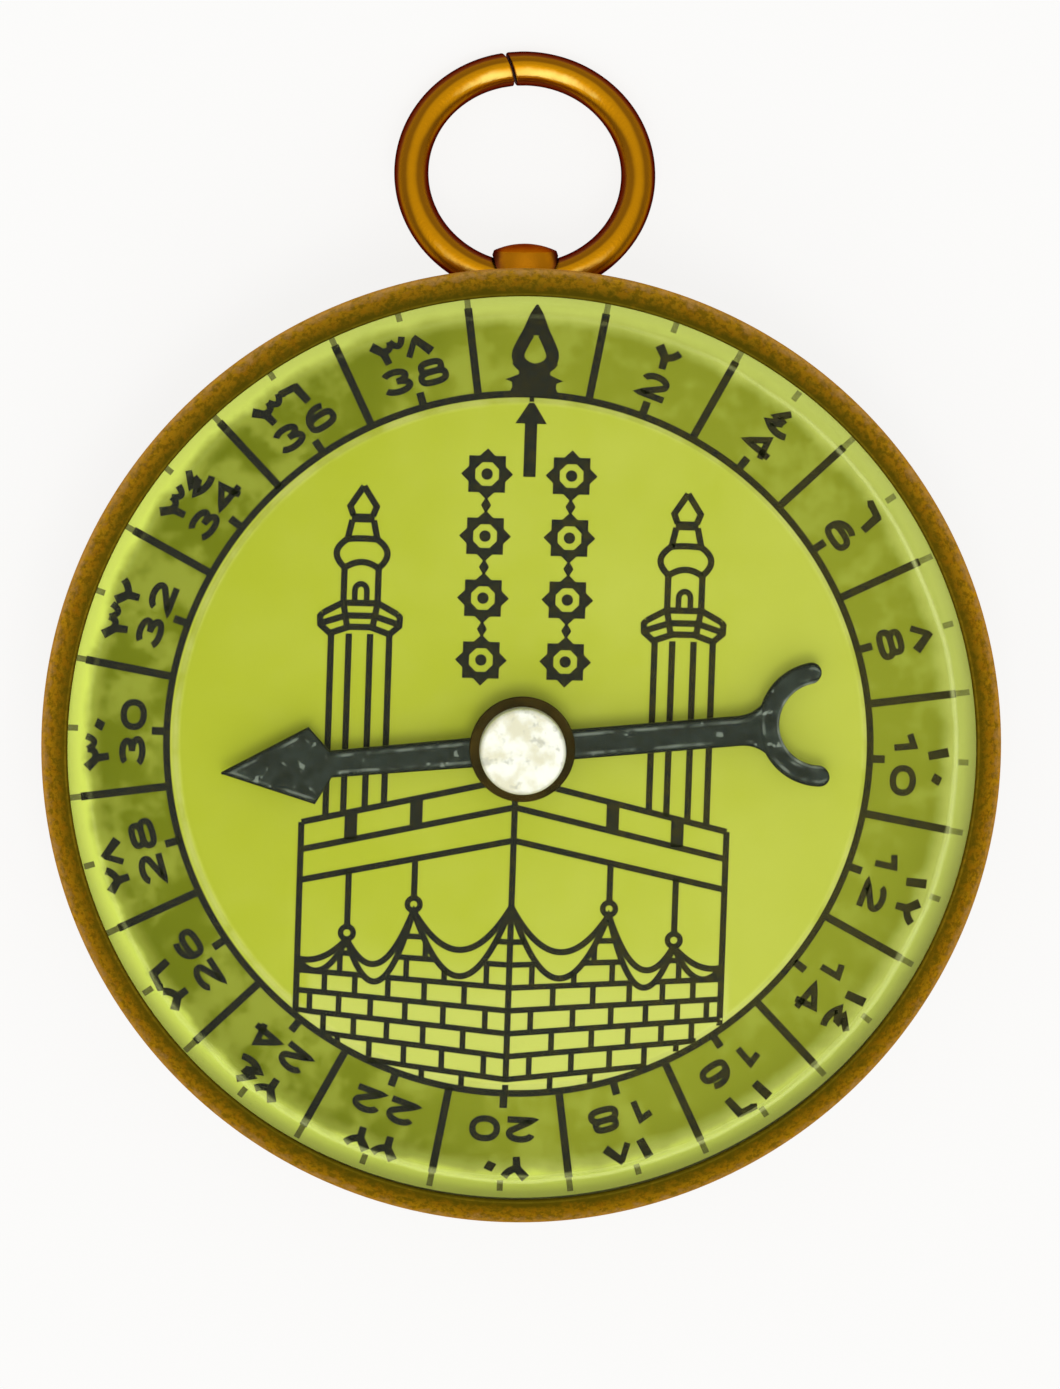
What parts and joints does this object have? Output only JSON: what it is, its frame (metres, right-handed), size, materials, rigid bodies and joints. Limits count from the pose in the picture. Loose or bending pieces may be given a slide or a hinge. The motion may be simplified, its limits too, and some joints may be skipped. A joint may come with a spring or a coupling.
{
  "type": "qibla compass",
  "caption": "Round brass pocket compass for finding the prayer direction: flanged pan, rolled bezel, domed clear cap, printed green dial, arrow needle on a pivot, split bow ring on a riveted lug.",
  "frame": {"origin": "on the case axis, in the plane of the back face that the case rests on", "axes": "+Z out of the dial through the crystal, +Y from the case axis towards the bow, +X to the right of the dial"},
  "size_m": [0.045, 0.0547, 0.0128],
  "materials": {
    "case_brass": "drawn, lacquered, slightly toned",
    "bezel_brass": "rolled, lacquered, toned brown-gold",
    "bow_brass": "polished wire",
    "turned_brass": "turned, toned",
    "crystal_clear": "clear, polished",
    "dial_paint": "satin yellow-green print",
    "needle_steel": "blued, satin",
    "cap_aluminium": "bright, slightly worn",
    "jewel_stone": "polished",
    "point_steel": "ground"
  },
  "bodies": {
    "case": {"case_pan": "case_brass", "bezel": "bezel_brass", "crystal": "crystal_clear", "dial": "dial_paint", "pivot_post": "turned_brass", "pivot_point": "point_steel", "pendant": "turned_brass"},
    "needle": {"needle": "needle_steel", "needle_hub": "turned_brass", "needle_cap": "cap_aluminium", "bearing_jewel": "jewel_stone"},
    "bow": {"bow_ring": "bow_brass"}
  },
  "joints": [
    {"name": "needle_spin", "type": "hinge", "parent": "case", "child": "needle", "pos_m": [0, 0, 0.0098], "axis": [0, 0, 1], "continuous": true},
    {"name": "bow_swing", "type": "hinge", "parent": "case", "child": "bow", "pos_m": [0, 0.02166, 0.00527], "axis": [1, 0, 0], "range_deg": [-78, 70]}
  ]
}
